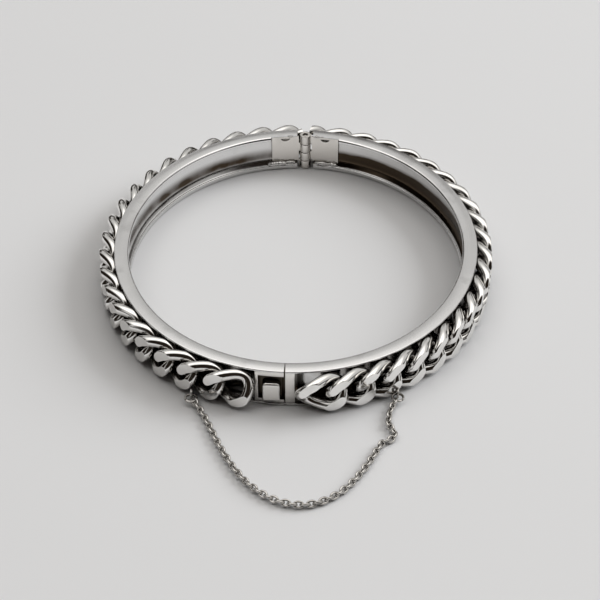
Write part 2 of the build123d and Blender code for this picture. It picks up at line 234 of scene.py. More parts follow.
def chain_matrix(from_clasp):
    """Local x to the right of someone outside, y up, z outward, at a place on the chain."""
    travel = from_clasp % CHAIN_ROUND
    index = min(bisect.bisect_left(chain_travel, travel), CHAIN_STEPS)
    angle = chain_angles[index]
    outward = Vector((math.cos(angle) / chain_half[0], math.sin(angle) / chain_half[1], 0))
    outward.normalize()
    place = chain_places[index] + Vector((0, 0, BAND_HEIGHT / 2))
    across = Vector((0, 0, 1)).cross(outward)
    turn = Matrix((across, Vector((0, 0, 1)), outward)).transposed().to_4x4()
    return Matrix.Translation(place) @ turn


def cell_solid(xs, outs, zs, filled, back=False):
    """A solid of small cells that follows the oval beside the hinge or the clasp.

    filled(x, out, z) says whether the cell with that middle is there."""
    bm = bmesh.new()
    corners = {}

    def corner(i, j, k):
        if (i, j, k) not in corners:
            y = ellipse_y(xs[i], outs[j])
            corners[i, j, k] = bm.verts.new((xs[i], -y if back else y, zs[k]))
        return corners[i, j, k]

    def there(i, j, k):
        if not (0 <= i < len(xs) - 1 and 0 <= j < len(outs) - 1 and 0 <= k < len(zs) - 1):
            return False
        middle = [(line[n] + line[n + 1]) / 2 for line, n in ((xs, i), (outs, j), (zs, k))]
        return filled(*middle)

    loop = ((0, 0), (1, 0), (1, 1), (0, 1))
    for i in range(len(xs) - 1):
        for j in range(len(outs) - 1):
            for k in range(len(zs) - 1):
                if not there(i, j, k):
                    continue
                for step in (0, 1):
                    if not there(i - 1 + 2 * step, j, k):
                        bm.faces.new([corner(i + step, j + a, k + b) for a, b in loop])
                    if not there(i, j - 1 + 2 * step, k):
                        bm.faces.new([corner(i + a, j + step, k + b) for a, b in loop])
                    if not there(i, j, k - 1 + 2 * step):
                        bm.faces.new([corner(i + a, j + b, k + step) for a, b in loop])
    return bm


def spaced(start, end, count):
    """Evenly spaced values from start to end, both included."""
    return [start + (end - start) * step / count for step in range(count + 1)]


def anywhere(x, out, z):
    """A cell solid with no cell left out."""
    return True


def mirrored_x(bm):
    """Turns a right-hand piece into the left-hand one."""
    bmesh.ops.scale(bm, vec=(-1, 1, 1), verts=bm.verts)
    return bm


def box_bm(low, high):
    """A block between two corners, as a bmesh."""
    bm = bmesh.new()
    size = Vector(high) - Vector(low)
    place = Matrix.Translation((Vector(high) + Vector(low)) / 2) @ Matrix.Diagonal((*size, 1))
    bmesh.ops.create_cube(bm, size=1, matrix=place)
    return bm


def combined(bm, others, operation="DIFFERENCE"):
    """The bmesh with each of the other solids taken out of it, or joined to it."""
    face_outward(bm)
    whole = bpy.data.objects.new("whole", bpy.data.meshes.new("whole"))
    bm.to_mesh(whole.data)
    bm.free()
    bpy.context.scene.collection.objects.link(whole)
    tools = []
    for other in others:
        face_outward(other)
        tool = bpy.data.objects.new("tool", bpy.data.meshes.new("tool"))
        other.to_mesh(tool.data)
        other.free()
        bpy.context.scene.collection.objects.link(tool)
        cut = whole.modifiers.new("cut", "BOOLEAN")
        cut.operation = operation
        cut.object = tool
        tools.append(tool)
    depsgraph = bpy.context.evaluated_depsgraph_get()
    result = bpy.data.meshes.new_from_object(whole.evaluated_get(depsgraph))
    made = bmesh.new()
    made.from_mesh(result)
    for item in (whole, *tools):
        bpy.data.meshes.remove(item.data)
    bpy.data.meshes.remove(result)
    return made


# ---------------------------------------------------------------- materials
# The silver's marks: their noise, what part of its range shows, and depths in metres.
MOTTLE_SCALE, MOTTLE_DETAIL, MOTTLE_RANGE = 260.0, 4.0, (0.35, 0.7)
STAIN_SCALE, STAIN_DETAIL, STAIN_RANGE = 150.0, 5.0, (0.56, 0.72)
SCRATCH_LEAN = (0.4, 0.9, 0.3)
SCRATCH_SCALE, SCRATCH_DETAIL, SCRATCH_DEPTH = (6000.0, 500.0, 900.0), 3.0, 0.00002
RIPPLE_SCALE, RIPPLE_DETAIL, RIPPLE_DEPTH, RIPPLE_STRENGTH = 420.0, 1.0, 0.00004, 0.25
# Tarnish plus painted shade in corners and hollows, by ambient occlusion: its reach in metres, its
# samples, and the range that darkens.
CORNER_REACH, CORNER_SAMPLES, CORNER_RANGE = 0.0022, 6, (0.15, 0.75)
# Where tarnish plus painted shade gather low on the walls, and where painted shade darkens the
# seam, in millimetres: from the first value to the second it grows.
GUTTER_TARNISH_AND_SHADE = (4.1, 2.3)
RIGHT_TARNISH_AND_SHADE, RIGHT_TARNISH_AND_SHADE_MOST = (-4.0, 15.0), 2.6
SWEEP_TARNISH_AND_SHADE, SWEEP_TARNISH_AND_SHADE_LEAST = (1.35, 2.0), 0.42
COVERED_SWEEP = (-10.0, 10.0)
LEDGE_TARNISH_AND_SHADE = (0.88, 1.05)
SEAM_SHADE = (0.13, 0.08)


def new_material(name):
    """A node material with its shader, and short ways to add and join nodes."""
    material = bpy.data.materials.new(name)
    material.use_nodes = True
    nodes, links = material.node_tree.nodes, material.node_tree.links
    shader = nodes["Principled BSDF"]

    def add(kind, **settings):
        node = nodes.new(kind)
        for key, value in settings.items():
            setattr(node, key, value)
        return node

    return material, shader, add, links.new


def silver(
    name, tone, rough, rough_spread, scratch,
    tarnish_and_shade_colour=(0.07, 0.052, 0.036), corner_tarnish_and_shade=0.9, stains=0.22, low_tarnish_and_shade=0.0, seam_shade=0.0,
):
    """Silver-tone plate: polish that varies, fine handling scratches, tarnish plus painted shade
    in corners and low on the walls, and painted shade at the seam.
    """
    material, shader, add, join = new_material(name)
    shader.inputs["Metallic"].default_value = 1.0
    place = add("ShaderNodeTexCoord").outputs["Object"]

    def noise(scale, detail, vector=place):
        """A cloudy pattern of values about 0.5."""
        node = add("ShaderNodeTexNoise")
        node.inputs["Scale"].default_value = scale
        node.inputs["Detail"].default_value = detail
        join(vector, node.inputs["Vector"])
        return node.outputs["Fac"]

    def remap(value, start, end, low, high, kind="LINEAR"):
        """A change from low to high as a value goes from start to end."""
        node = add("ShaderNodeMapRange", interpolation_type=kind)
        node.inputs["From Min"].default_value = start
        node.inputs["From Max"].default_value = end
        node.inputs["To Min"].default_value = low
        node.inputs["To Max"].default_value = high
        join(value, node.inputs["Value"])
        return node.outputs["Result"]

    def ramp(axis, limits, low=0.0, high=1.0):
        """A smooth change from low to high between two limits in millimetres."""
        start, end = limits
        return remap(axis, start * MM, end * MM, low, high, "SMOOTHSTEP")

    def math_node(operation, *values):
        """The result of one arithmetic step on sockets."""
        node = add("ShaderNodeMath", operation=operation)
        for socket, value in zip(node.inputs, values):
            join(value, socket)
        return node.outputs["Value"]

    def bump(pattern, strength, distance, under=None):
        """Fine relief from a pattern, over other relief where there is any."""
        node = add("ShaderNodeBump")
        node.inputs["Strength"].default_value = strength
        node.inputs["Distance"].default_value = distance
        join(pattern, node.inputs["Height"])
        if under is not None:
            join(under, node.inputs["Normal"])
        return node.outputs["Normal"]

    mottle = noise(MOTTLE_SCALE, MOTTLE_DETAIL)
    roughness = remap(mottle, *MOTTLE_RANGE, rough, rough + rough_spread)
    join(roughness, shader.inputs["Roughness"])

    # Tarnish plus painted shade: ambient occlusion darkens corners, hollows and gaps between parts
    # toward the dark colour.
    corners = add("ShaderNodeAmbientOcclusion", samples=CORNER_SAMPLES, only_local=False)
    corners.inputs["Distance"].default_value = CORNER_REACH
    depth = remap(corners.outputs["AO"], *CORNER_RANGE, corner_tarnish_and_shade, 0.0)
    stain = noise(STAIN_SCALE, STAIN_DETAIL)
    worst = math_node("MAXIMUM", depth, remap(stain, *STAIN_RANGE, 0.0, stains))

    axes = add("ShaderNodeSeparateXYZ")
    join(place, axes.inputs["Vector"])
    across, up = axes.outputs["X"], axes.outputs["Z"]
    # Tarnish plus painted shade low on the walls: darker towards the bottom and towards +X,
    # lighter low on the sweep towards -X, none on the ledge.
    gutter = ramp(up, GUTTER_TARNISH_AND_SHADE, 0.0, low_tarnish_and_shade)
    toward_right = ramp(across, RIGHT_TARNISH_AND_SHADE, 1.0, RIGHT_TARNISH_AND_SHADE_MOST)
    sweep_share = ramp(up, SWEEP_TARNISH_AND_SHADE, SWEEP_TARNISH_AND_SHADE_LEAST)
    sweep = math_node("MAXIMUM", sweep_share, ramp(across, COVERED_SWEEP))
    wall_tarnish_and_shade = math_node("MULTIPLY", math_node("MULTIPLY", gutter, toward_right), sweep)
    wall_tarnish_and_shade = math_node("MULTIPLY", wall_tarnish_and_shade, ramp(up, LEDGE_TARNISH_AND_SHADE))
    # Painted shade along the seam gap, on both sides of x = 0.
    seam = ramp(math_node("ABSOLUTE", across), SEAM_SHADE, 0.0, seam_shade)
    uneven = math_node("MULTIPLY", math_node("MAXIMUM", wall_tarnish_and_shade, seam), stain)

    colour = add("ShaderNodeMix", data_type="RGBA")
    colour.inputs["A"].default_value = (*tone, 1)
    colour.inputs["B"].default_value = (*tarnish_and_shade_colour, 1)
    join(math_node("MAXIMUM", worst, uneven), colour.inputs["Factor"])
    join(colour.outputs["Result"], shader.inputs["Base Color"])

    stretch = add("ShaderNodeMapping")
    stretch.inputs["Rotation"].default_value = SCRATCH_LEAN
    stretch.inputs["Scale"].default_value = SCRATCH_SCALE
    join(place, stretch.inputs["Vector"])
    lines = noise(1.0, SCRATCH_DETAIL, stretch.outputs["Vector"])
    fine = bump(lines, scratch, SCRATCH_DEPTH)
    wavy = bump(noise(RIPPLE_SCALE, RIPPLE_DETAIL), RIPPLE_STRENGTH, RIPPLE_DEPTH, under=fine)
    join(wavy, shader.inputs["Normal"])
    return material


link_silver = silver(
    "link_silver", (0.93, 0.92, 0.90), rough=0.05, rough_spread=0.07, scratch=0.12
)
# Tarnish plus painted shade low on the walls, and painted shade along the seam.
band_silver = silver(
    "band_silver", (0.90, 0.897, 0.895), rough=0.13, rough_spread=0.12, scratch=0.35,
    tarnish_and_shade_colour=(0.075, 0.055, 0.038), low_tarnish_and_shade=1.9, seam_shade=2.0,
)
hinge_silver = silver(
    "hinge_silver", (0.84, 0.81, 0.77), rough=0.14, rough_spread=0.16, scratch=0.3
)
solder_silver = silver(
    "solder_silver", (0.93, 0.92, 0.90), rough=0.2, rough_spread=0.15, scratch=0.1, corner_tarnish_and_shade=0.25
)
# Painted shade: the near-black tarnish colour and strong corner darkening make the housing's
# inside read as in shadow, and the seam gets painted shade too.
clasp_silver = silver(
    "clasp_silver", (0.90, 0.88, 0.85), rough=0.14, rough_spread=0.16, scratch=0.35,
    tarnish_and_shade_colour=(0.035, 0.026, 0.018), corner_tarnish_and_shade=1.4, stains=0.5, seam_shade=2.4,
)
# Painted shade: a near-black tone so the tongue and the spring inside the clasp read as in shadow.
spring_steel_painted_shade = silver(
    "spring_steel_painted_shade", (0.16, 0.14, 0.115), rough=0.34, rough_spread=0.15, scratch=0.5
)
# A darker tone: tarnish plus painted shade between the fine chain's small links; the rings and
# eyelets share it.
fine_silver = silver(
    "fine_silver", (0.74, 0.72, 0.69), rough=0.10, rough_spread=0.12, scratch=0.2
)


# ---------------------------------------------------------------- safety chain
SAFETY_WIDTH = 1.15
# The route as laid out on the table, in metres, from the left jump ring to the right one.
SAFETY_ROUTE = (
    (-0.01276, -0.03105, 0.00085),
    (-0.0116, -0.0328, 0.00062),
    (-0.0102, -0.0359, 0.0006),
    (-0.0086, -0.0396, 0.0006),
    (-0.0064, -0.0438, 0.0006),
    (-0.0036, -0.0476, 0.0006),
    (0.0002, -0.0503, 0.0006),
    (0.0046, -0.0508, 0.0006),
    (0.0086, -0.0483, 0.0006),
    (0.0114, -0.044, 0.0006),
    (0.0131, -0.0401, 0.0006),
    (0.0141, -0.0376, 0.0006),
    (0.0155, -0.0371, 0.0006),
    (0.0159, -0.0356, 0.0006),
    (0.0149, -0.0343, 0.0006),
    (0.0149, -0.0326, 0.0006),
    (0.0151, -0.0309, 0.00065),
    (0.01566, -0.02953, 0.00085),
)
SAFETY_LINK_LENGTH = 1.58
SAFETY_LINK_WIRE = 0.35
SAFETY_PITCH = 0.875
SAFETY_TILT = 45
SAFETY_SWAY = 9
SAFETY_END_SHARE = 0.4


def route_line():
    """Points close together along the route's NURBS spline, in metres."""
    curve = bpy.data.curves.new("route", "CURVE")
    curve.dimensions = "3D"
    spline = curve.splines.new("NURBS")
    spline.points.add(len(SAFETY_ROUTE) - 1)
    for point, place in zip(spline.points, SAFETY_ROUTE):
        point.co = (*place, 1)
    spline.order_u = 3
    spline.use_endpoint_u = True
    spline.resolution_u = 24
    holder = bpy.data.objects.new("route", curve)
    line = bpy.data.meshes.new_from_object(holder)
    points = [vertex.co.copy() for vertex in line.vertices]
    bpy.data.objects.remove(holder)
    return points


def travel_along(points):
    """How far along the line each point is."""
    travel = [0.0]
    for start, end in zip(points, points[1:]):
        travel.append(travel[-1] + (end - start).length)
    return travel


def oval_ring(bm, matrix, length, width, wire, stations=32, sides=12):
    """One small oval link of round wire, placed by a matrix."""
    reach_x, reach_y = (length - wire) / 2, (width - wire) / 2
    rows = []
    for station in range(stations):
        angle = 2 * math.pi * station / stations
        centre = Vector((reach_x * math.cos(angle), reach_y * math.sin(angle), 0))
        outward = Vector((math.cos(angle) / reach_x, math.sin(angle) / reach_y, 0)).normalized()
        row = []
        for corner in range(sides):
            spin = 2 * math.pi * corner / sides
            offset = outward * math.cos(spin) + Vector((0, 0, 1)) * math.sin(spin)
            row.append(bm.verts.new(matrix @ (centre + offset * (wire / 2))))
        rows.append(row)
    grid_faces(bm, rows, closed=True)


def build_safety_chain():
    """Fine cable links along the route, leaning one way and the other by turns."""
    path = route_line()
    points = [point / MM for point in path]
    travel = travel_along(points)
    length = travel[-1]
    bm = bmesh.new()
    count = round((length - SAFETY_LINK_LENGTH * SAFETY_END_SHARE) / SAFETY_PITCH)
    for number in range(count + 1):
        reach = length * number / count
        index = min(max(bisect.bisect_left(travel, reach), 1), len(points) - 1)
        share = (reach - travel[index - 1]) / (travel[index] - travel[index - 1])
        place = points[index - 1].lerp(points[index], share)
        along = (points[index] - points[index - 1]).normalized()
        level = Vector((0, 0, 1)).cross(along).normalized()
        rise = along.cross(level)
        turn = Matrix((along, level, rise)).transposed().to_4x4()
        lean = SAFETY_TILT * (-1) ** number + rng.uniform(-SAFETY_SWAY, SAFETY_SWAY)
        roll = Matrix.Rotation(math.radians(lean), 4, "X")
        matrix = Matrix.Translation(place) @ turn @ roll
        oval_ring(bm, matrix, SAFETY_LINK_LENGTH, SAFETY_WIDTH, SAFETY_LINK_WIRE)
    mesh = mesh_from(bm, "safety_cable_chain", sharp_angle=180)
    piece = bpy.data.objects.new("safety_cable_chain", mesh)
    bpy.context.scene.collection.objects.link(piece)
    mesh.materials.append(fine_silver)
    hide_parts("safety_chain")
    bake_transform(piece)


build_safety_chain()

# ---------------------------------------------------------------- half bands
# The channel's outline as (out, height, rounding): a wide flat rim on top whose inner
# edge rolls under, a plain web, and a lower rim that the web sweeps into.
LOWER_EDGE_OUT = 0.08
LEDGE_HEIGHT = 0.84
SWEEP_RADIUS = 1.6
SWEEP_WIDTH = 0.64
RIM_FALL = 0.07
CROWN_RADIUS = 6.0
CHANNEL = rounded(
    (
        (WEB_IN - SWEEP_WIDTH, LEDGE_HEIGHT, 0.12),
        (WEB_IN, LEDGE_HEIGHT + SWEEP_WIDTH, SWEEP_RADIUS),
        (WEB_IN, BAND_HEIGHT - SHEET, 0.12),
        (SHEET, BAND_HEIGHT - SHEET, 0.1),
        (SHEET, BAND_HEIGHT - LIP_DEPTH, 0.17),
        (0, BAND_HEIGHT - LIP_DEPTH, 0.17),
        (0, BAND_HEIGHT - RIM_FALL, 0.36),
        (RIM_WIDTH / 2, BAND_HEIGHT, CROWN_RADIUS),
        (RIM_WIDTH, BAND_HEIGHT - RIM_FALL, 0.14),
        (RIM_WIDTH, BAND_HEIGHT - SHEET, 0.1),
        (WEB_OUT, BAND_HEIGHT - SHEET, 0.12),
        (WEB_OUT, SHEET, 0.12),
        (RIM_WIDTH, SHEET, 0.12),
        (RIM_WIDTH, 0, 0.12),
        (LOWER_EDGE_OUT, 0, 0.2),
        (LOWER_EDGE_OUT, LEDGE_HEIGHT, 0.2),
    ),
    segments=8,
)
LEAF_NEAR = 1.06
LEAF_FAR = node_box("right_hinge_leaf")[1].x
LEAF_OUTS = [0.68, 0.98]
LEAF_BOTTOM, LEAF_TOP = 1.3, 6.0
FOOT_REACH = 0.5
NOTCH_OUT = 0.66
NOTCH_SPARE = 0.12
BAND_STATIONS = 200
CLASP_RELIEF = {"left": 4.3, "right": 1.5}
RELIEF_OUT = 0.55
RELIEF_SPARE = 0.01
SLOT_RADIUS = 0.85
SLOT_TOP = 5.62
SLOT_DEPTH = 0.48
SLOT_ARC_STEPS = 14
SLOT_CUTTER_REACH = (-0.5, 2.5)


def slot_cutter():
    """A half-moon prism that cuts the slot near the top of a leaf."""
    middle = Vector(((LEAF_NEAR + LEAF_FAR) / 2, SLOT_TOP - SLOT_DEPTH + SLOT_RADIUS))
    spread = math.acos((SLOT_RADIUS - SLOT_DEPTH) / SLOT_RADIUS)
    outline = []
    for turn in spaced(-spread, spread, SLOT_ARC_STEPS):
        angle = -math.pi / 2 + turn
        outline.append(middle + Vector((math.cos(angle), math.sin(angle))) * SLOT_RADIUS)
    bm = bmesh.new()
    rows = [
        [bm.verts.new((place.x, INNER_HALF_Y + depth, place.y)) for place in outline]
        for depth in SLOT_CUTTER_REACH
    ]
    grid_faces(bm, rows)
    bm.faces.new(rows[0])
    bm.faces.new(rows[1])
    return bm


def angle_at(x, out, back):
    """The angle at which the oval, moved outward, passes a given x on its +X side."""
    low, high = (0.0, math.pi / 2) if back else (-math.pi / 2, 0.0)
    for _ in range(40):
        middle = (low + high) / 2
        beyond = oval_point(middle, out).x > x
        if beyond == back:
            low = middle
        else:
            high = middle
    return (low + high) / 2


def build_band(side):
    """One half band: the channel's outline carried round half of the oval."""
    ends = [
        (angle_at(SEAM_GAP, out, back=False), angle_at(HINGE_GAP, out, back=True))
        for out, _ in CHANNEL
    ]
    bm = bmesh.new()
    rows = []
    for share in spaced(0, 1, BAND_STATIONS):
        row = []
        for (out, height), (front, back) in zip(CHANNEL, ends):
            row.append(bm.verts.new(oval_point(front + (back - front) * share, out, height)))
        rows.append(row)
    grid_faces(bm, rows)
    bm.faces.new(rows[0])
    bm.faces.new(rows[-1])
    relief = box_bm(
        (0, -2 * INNER_HALF_Y, SHEET + RELIEF_SPARE),
        (CLASP_RELIEF[side], -INNER_HALF_Y - RELIEF_OUT, BAND_HEIGHT - SHEET - RELIEF_SPARE),
    )
    notch_xs = [HINGE_GAP - NOTCH_SPARE, *spaced(HINGE_GAP, LEAF_FAR + NOTCH_SPARE, 8)]
    notch_heights = [BAND_HEIGHT - LIP_DEPTH - RELIEF_SPARE, BAND_HEIGHT + NOTCH_OUT]
    notch = cell_solid(notch_xs, [-NOTCH_OUT, NOTCH_OUT], notch_heights, anywhere, back=True)
    for cutter in (relief, notch, slot_cutter()):
        bm = combined(bm, [cutter])
    return mirrored_x(bm) if side == "left" else bm


for side in ("left", "right"):
    name = f"{side}_band"
    mesh = mesh_from(build_band(side), name + "_plate")
    band = make_object(name + "_plate", mesh, band_silver, f"{side}_half", [name])
    add_modifiers(band)

# ---------------------------------------------------------------- curb links
LINK_STATIONS = 84
LINK_SIDES = 28
LINK_SWAY = 1.2
SADDLE_STEPS = 2400
SMOOTHING_PASSES = 3


def saddle_path():
    """Evenly spaced points round a link's middle line, a twisted rounded rectangle."""
    def squared(value):
        return math.copysign(abs(value) ** (2 / LINK_SQUARENESS), value)

    reach_u, reach_v = (LINK_LENGTH - LINK_WIRE) / 2, (LINK_HEIGHT - LINK_WIRE) / 2
    corner = squared(math.sqrt(0.5)) ** 2
    dense = []
    for step in range(SADDLE_STEPS):
        angle = 2 * math.pi * step / SADDLE_STEPS
        share_u, share_v = squared(math.cos(angle)), squared(math.sin(angle))
        twist = -LINK_TWIST * share_u * share_v / corner
        dense.append(Vector((reach_u * share_u, reach_v * share_v, twist)))
    dense.append(dense[0].copy())
    travel = travel_along(dense)
    even = []
    for station in range(LINK_STATIONS):
        reach = travel[-1] * station / LINK_STATIONS
        index = max(bisect.bisect_left(travel, reach), 1)
        share = (reach - travel[index - 1]) / (travel[index] - travel[index - 1])
        even.append(dense[index - 1].lerp(dense[index], share))
    for _ in range(SMOOTHING_PASSES):
        even = [
            (even[i - 1] + even[i] * 2 + even[(i + 1) % LINK_STATIONS]) / 4
            for i in range(LINK_STATIONS)
        ]
    return even


def link_shape():
    """A link of round wire, lying in its own frame, with its crests filed flat."""
    path = saddle_path()
    bm = bmesh.new()
    rows = []
    for index, centre in enumerate(path):
        along = (path[(index + 1) % LINK_STATIONS] - path[index - 1]).normalized()
        side = Vector((0, 0, 1)).cross(along).normalized()
        rise = along.cross(side)
        row = []
        for corner in range(LINK_SIDES):
            spin = 2 * math.pi * corner / LINK_SIDES
            offset = (side * math.cos(spin) + rise * math.sin(spin)) * (LINK_WIRE / 2)
            row.append(bm.verts.new(centre + offset))
        rows.append(row)
    grid_faces(bm, rows, closed=True)
    cut_away(bm, Vector((0, 0, FILED_AT)), Vector((0, 0, 1)))
    return bm


template = bpy.data.meshes.new("link_template")
template_bm = link_shape()
template_bm.to_mesh(template)
template_bm.free()


def build_link(name, from_clasp, cuts=()):
    """One link at its place on the oval, with any plane cuts by the hinge."""
    bm = bmesh.new()
    bm.from_mesh(template)
    sway = Matrix.Rotation(math.radians(rng.uniform(-LINK_SWAY, LINK_SWAY)), 4, "Z")
    bmesh.ops.transform(bm, matrix=chain_matrix(from_clasp) @ sway, verts=bm.verts)
    for place, normal in cuts:
        cut_away(bm, place, normal)
    mesh = mesh_from(bm, name + "_wire", sharp_angle=30)
    body = "left_half" if name.startswith("left") else "right_half"
    link = make_object(name + "_wire", mesh, link_silver, body, [name])
    add_modifiers(link, bevel=0.05, segments=2)


def mitre(sign):
    """The plane through the pivot that the chain is cut back to on one side."""
    normal = Vector((-sign * math.cos(MITRE_ANGLE), math.sin(MITRE_ANGLE), 0))
    return PIVOT + Vector((sign * MITRE_GAP, 0, 0)), normal


for number in range(1, LEFT_LINKS + 1):
    cuts = [mitre(-1)] if number == LEFT_LINKS else []
    build_link(f"left_link_{number:02d}", LEFT_FIRST + LEFT_PITCH * (number - 1), cuts)
for number in range(1, RIGHT_LINKS + 1):
    cuts = [mitre(1)] if number == RIGHT_LINKS else []
    build_link(f"right_link_{number:02d}", -RIGHT_FIRST - RIGHT_PITCH * (number - 1), cuts)
build_link("left_hinge_link", HINGE_LINK, [mitre(-1)])
build_link("right_hinge_link", HINGE_LINK, [mitre(1)])

# ---------------------------------------------------------------- hinge and clasp
def lathed(bm, centre, profile, segments=56):
    """A solid turned about a vertical line, from a closed outline of (radius, z)."""
    rows = []
    for segment in range(segments):
        angle = 2 * math.pi * segment / segments
        turn = Vector((math.cos(angle), math.sin(angle), 0))
        rows.append(
            [bm.verts.new(centre + turn * radius + Vector((0, 0, z))) for radius, z in profile]
        )
    grid_faces(bm, rows, closed=True)


KNUCKLES = 4
KNUCKLE_GAP = 0.04
KNUCKLE_HEIGHT = (BAND_HEIGHT - KNUCKLE_GAP * (KNUCKLES + 1)) / KNUCKLES
KNUCKLE_ROUND = 0.09
BARREL_RADIUS = 0.88
BORE_RADIUS = 0.43


def knuckle_span(number):
    """The bottom and top of a knuckle, counted from the lowest."""
    foot = KNUCKLE_GAP + number * (KNUCKLE_HEIGHT + KNUCKLE_GAP)
    return foot, foot + KNUCKLE_HEIGHT


def hinge_leaf(first_knuckle):
    """A right-hand leaf: its plate, its slot and every second knuckle."""
    spans = [knuckle_span(number) for number in range(first_knuckle, KNUCKLES, 2)]
    heights = sorted({LEAF_BOTTOM, LEAF_TOP, *(edge for span in spans for edge in span)})

    def filled(x, out, z):
        if x < LEAF_NEAR:
            return any(low < z < high for low, high in spans)
        return LEAF_BOTTOM < z < LEAF_TOP

    xs = [FOOT_REACH, *spaced(LEAF_NEAR, LEAF_FAR, 8)]
    plate = cell_solid(xs, LEAF_OUTS, heights, filled, back=True)
    rolls = []
    for low, high in spans:
        roll = bmesh.new()
        outline = rounded(
            (
                (BORE_RADIUS, low, 0),
                (BARREL_RADIUS, low, KNUCKLE_ROUND),
                (BARREL_RADIUS, high, KNUCKLE_ROUND),
                (BORE_RADIUS, high, 0),
            ),
            segments=4,
        )
        lathed(roll, PIVOT, outline)
        rolls.append(roll)
    return combined(combined(plate, [slot_cutter()]), rolls, "UNION")


for side, first_knuckle in (("right", 1), ("left", 0)):
    leaf_bm = hinge_leaf(first_knuckle)
    if side == "left":
        mirrored_x(leaf_bm)
    name = f"{side}_hinge_leaf"
    leaf = make_object(
        name + "_plate", mesh_from(leaf_bm, name + "_plate"), hinge_silver, f"{side}_half",
        [name],
    )
    add_modifiers(leaf, bevel=0.035, segments=2)

SOLDER_STATIONS = 22
SOLDER_SIDES = 14
SOLDER_SHARES = (0.02, 0.98)
SOLDER_SIZES = (0.78, 1.12)
SOLDER_DENTS = (0.94, 1.06)
SOLDER_FLATNESS = 0.8
# Each lump as (start x, end x, out, height, radius). The left side's are mirrored.
SOLDER = {
    "left": (
        (1.5, 3.3, 0.56, 1.06, 0.38), (2.9, 6.2, 0.46, 1.02, 0.56),
        (1.9, 2.9, 0.66, 6.05, 0.24),
    ),
    "right": (
        (1.4, 3.9, 0.5, 1.04, 0.46), (3.6, 5.4, 0.56, 1.0, 0.42),
        (1.35, 2.4, 0.66, 6.05, 0.27), (2.3, 3.1, 0.7, 6.1, 0.18),
    ),
}


def solder_lump(bm, start, end, out, height, radius):
    """An uneven bead of solder along the oval at the back, from one x to another."""
    rows = []
    for share in spaced(*SOLDER_SHARES, SOLDER_STATIONS):
        x = start + (end - start) * share
        size = radius * math.sin(math.pi * share) ** 0.5 * rng.uniform(*SOLDER_SIZES)
        y = -ellipse_y(x, out)
        row = []
        for spin in spaced(0, 2 * math.pi, SOLDER_SIDES)[:-1]:
            swell = size * rng.uniform(*SOLDER_DENTS)
            z = height + swell * SOLDER_FLATNESS * math.sin(spin)
            row.append(bm.verts.new((x, y + swell * math.cos(spin), z)))
        rows.append(row)
    grid_faces(bm, rows)
    bm.faces.new(rows[0])
    bm.faces.new(rows[-1])


for side, lumps in SOLDER.items():
    solder_bm = bmesh.new()
    for lump in lumps:
        solder_lump(solder_bm, *lump)
    if side == "left":
        mirrored_x(solder_bm)
    name = f"{side}_hinge_solder"
    solder = make_object(
        name, mesh_from(solder_bm, name, 180), solder_silver, f"{side}_half", []
    )
    smooth = solder.modifiers.new("smooth", "SUBSURF")
    smooth.levels = smooth.render_levels = 1

PIN_RADIUS = 0.40
# The pin's outline from foot to head: a bevelled foot and a softly rounded head.
PIN_OUTLINE = [
    (PIN_RADIUS * 0.02, pin_low.z),
    (PIN_RADIUS * 0.8, pin_low.z),
    (PIN_RADIUS, pin_low.z + 0.1),
    (PIN_RADIUS, pin_high.z - 0.12),
    (PIN_RADIUS * 0.85, pin_high.z - 0.03),
    (PIN_RADIUS * 0.5, pin_high.z),
    (PIN_RADIUS * 0.02, pin_high.z),
]
pin_bm = bmesh.new()
lathed(pin_bm, PIVOT, PIN_OUTLINE, segments=40)
pin_mesh = mesh_from(pin_bm, "hinge_pin_rod")
add_modifiers(
    make_object("hinge_pin_rod", pin_mesh, hinge_silver, "left_half", ["hinge_pin"])
)

BOX_LEFT = node_box("clasp_box")[0].x
ROOT_RIGHT = node_box("clasp_root")[1].x
# How far out the back wall and then the cover of a clasp housing begin and end.
BOX_OUTS = [SHEET + 0.02, SHEET + 0.25, 1.75, 2.1]
BOX_WALL = 0.22
BOX_BOTTOM, BOX_BACK_BOTTOM, BOX_TOP = SHEET, LIP_DEPTH + 0.02, BAND_HEIGHT - SHEET
NOTCH_START = -3.8
NOTCH_BOTTOM, NOTCH_TOP = 1.0, 5.25


def clasp_filled(x, out, z, end_low, end_high):
    """Where the metal of a clasp housing is: a cover, a back wall and a closed end."""
    if out > BOX_OUTS[2]:
        return not (NOTCH_START < x < 0 and NOTCH_BOTTOM < z < NOTCH_TOP)
    if z < BOX_BACK_BOTTOM:
        return False
    return out < BOX_OUTS[1] or end_low < x < end_high


housing_heights = [BOX_BOTTOM, BOX_BACK_BOTTOM, NOTCH_BOTTOM, NOTCH_TOP, BOX_TOP]
left_end = (BOX_LEFT, BOX_LEFT + BOX_WALL)
left_xs = [*left_end, *spaced(NOTCH_START, -SEAM_GAP, 7)]
box_bmesh = cell_solid(
    left_xs, BOX_OUTS, housing_heights, lambda x, out, z: clasp_filled(x, out, z, *left_end)
)
add_modifiers(
    make_object(
        "clasp_housing", mesh_from(box_bmesh, "clasp_housing"), clasp_silver, "left_half",
        ["clasp_box"],
    ),
    bevel=0.06,
)
right_end = (ROOT_RIGHT - BOX_WALL, ROOT_RIGHT)
right_xs = [*spaced(SEAM_GAP, right_end[0], 4), right_end[1]]
root_bmesh = cell_solid(
    right_xs, BOX_OUTS, housing_heights, lambda x, out, z: clasp_filled(x, out, z, *right_end)
)
add_modifiers(
    make_object(
        "clasp_root_housing", mesh_from(root_bmesh, "clasp_root_housing"), clasp_silver,
        "right_half", ["clasp_root"],
    ),
    bevel=0.06,
)

tab_low, tab_high = node_box("thumb_tab")
spring_low, spring_high = node_box("catch_spring")
SPRING_SHEET = 0.2
